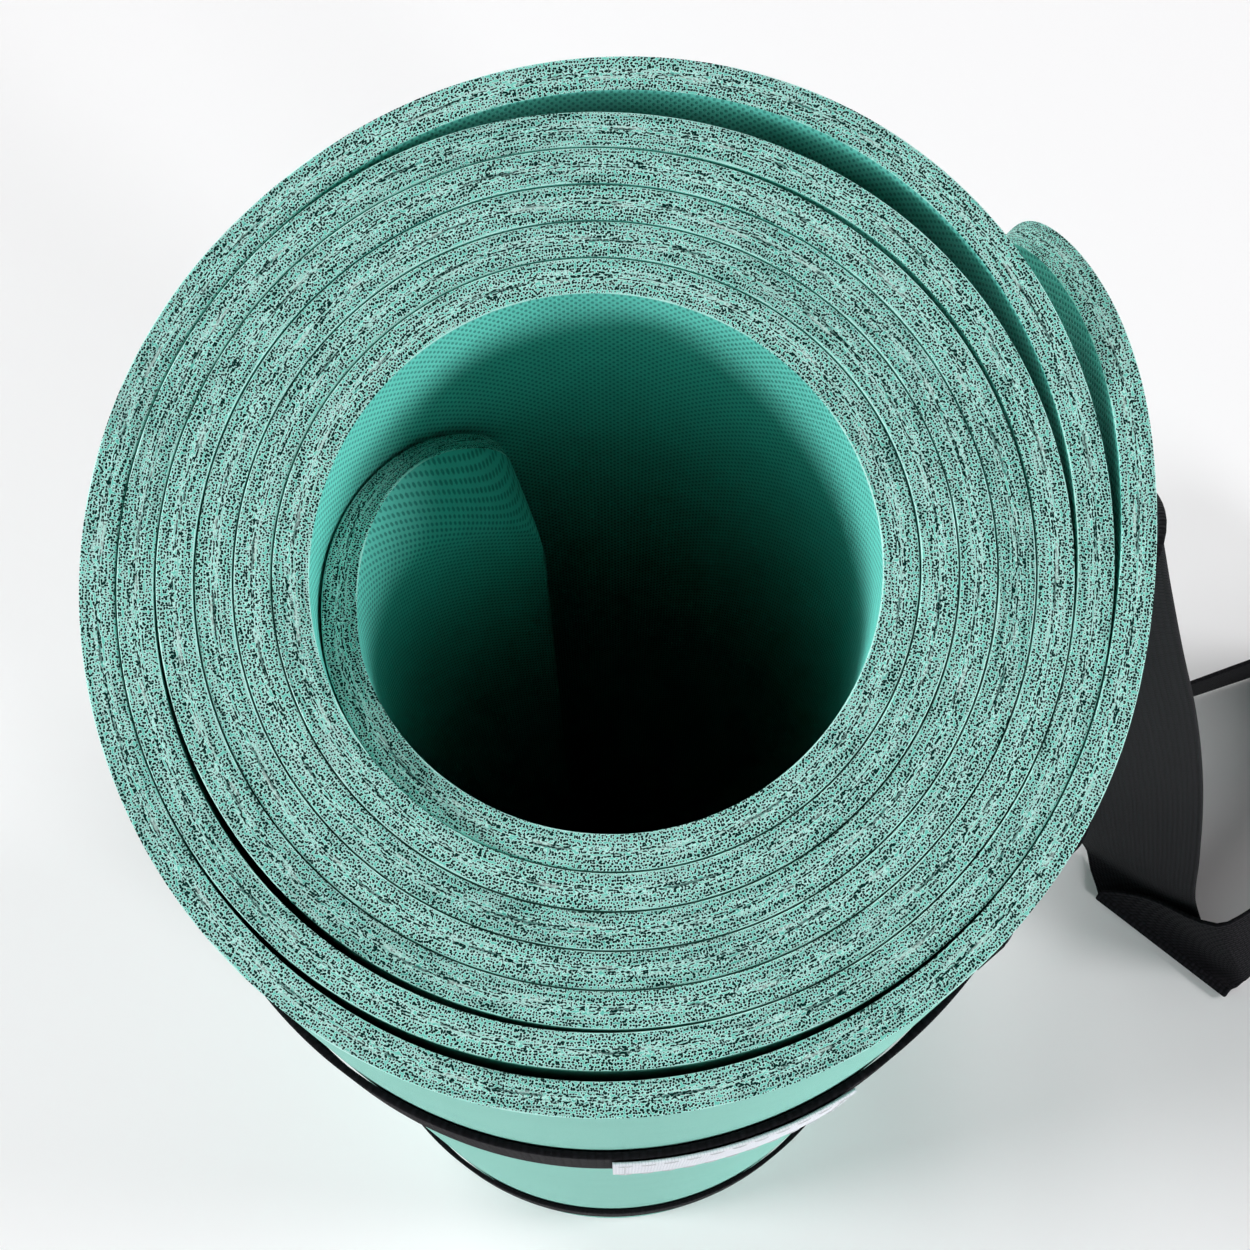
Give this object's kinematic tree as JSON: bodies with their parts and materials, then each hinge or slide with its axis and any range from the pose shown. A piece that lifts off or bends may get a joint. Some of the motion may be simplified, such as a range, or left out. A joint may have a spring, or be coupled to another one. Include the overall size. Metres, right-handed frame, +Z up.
{
  "type": "rolled exercise mat with carrying strap",
  "caption": "Foam exercise mat rolled up and stood on end, with a webbing carrying strap cinched round it at both ends and hanging down to the floor beside it.",
  "frame": {"origin": "on the floor, under the middle of the box round the roll and its two strap loops", "axes": "+Z up along the roll, +X towards the side where the strap hangs, -Y to the front, where the bare patch faces"},
  "size_m": [0.2906, 0.1622, 0.61],
  "materials": {
    "foam": "matt closed-cell foam, mint green, with a fine embossed grain on both faces and open cells on the cut edges",
    "webbing": "charcoal woven cotton webbing",
    "ring_wire": "plain steel wire",
    "patch_cloth": "bare off-white woven patch with a stitched border"
  },
  "bodies": {
    "mat": {"mat_sheet": "foam", "upper_run_webbing": "webbing", "lower_run_webbing": "webbing"},
    "upper_loop": {"upper_loop_webbing": "webbing", "upper_ring": "ring_wire", "label_patch": "patch_cloth"},
    "lower_loop": {"lower_loop_webbing": "webbing", "lower_ring": "ring_wire"}
  },
  "joints": [
    {"name": "upper_loop_slide", "type": "slide", "parent": "mat", "child": "upper_loop", "axis": [0, 0, 1], "range_m": [-0.16, 0.006]},
    {"name": "lower_loop_slide", "type": "slide", "parent": "mat", "child": "lower_loop", "axis": [0, 0, 1], "range_m": [-0.006, 0.16]}
  ]
}
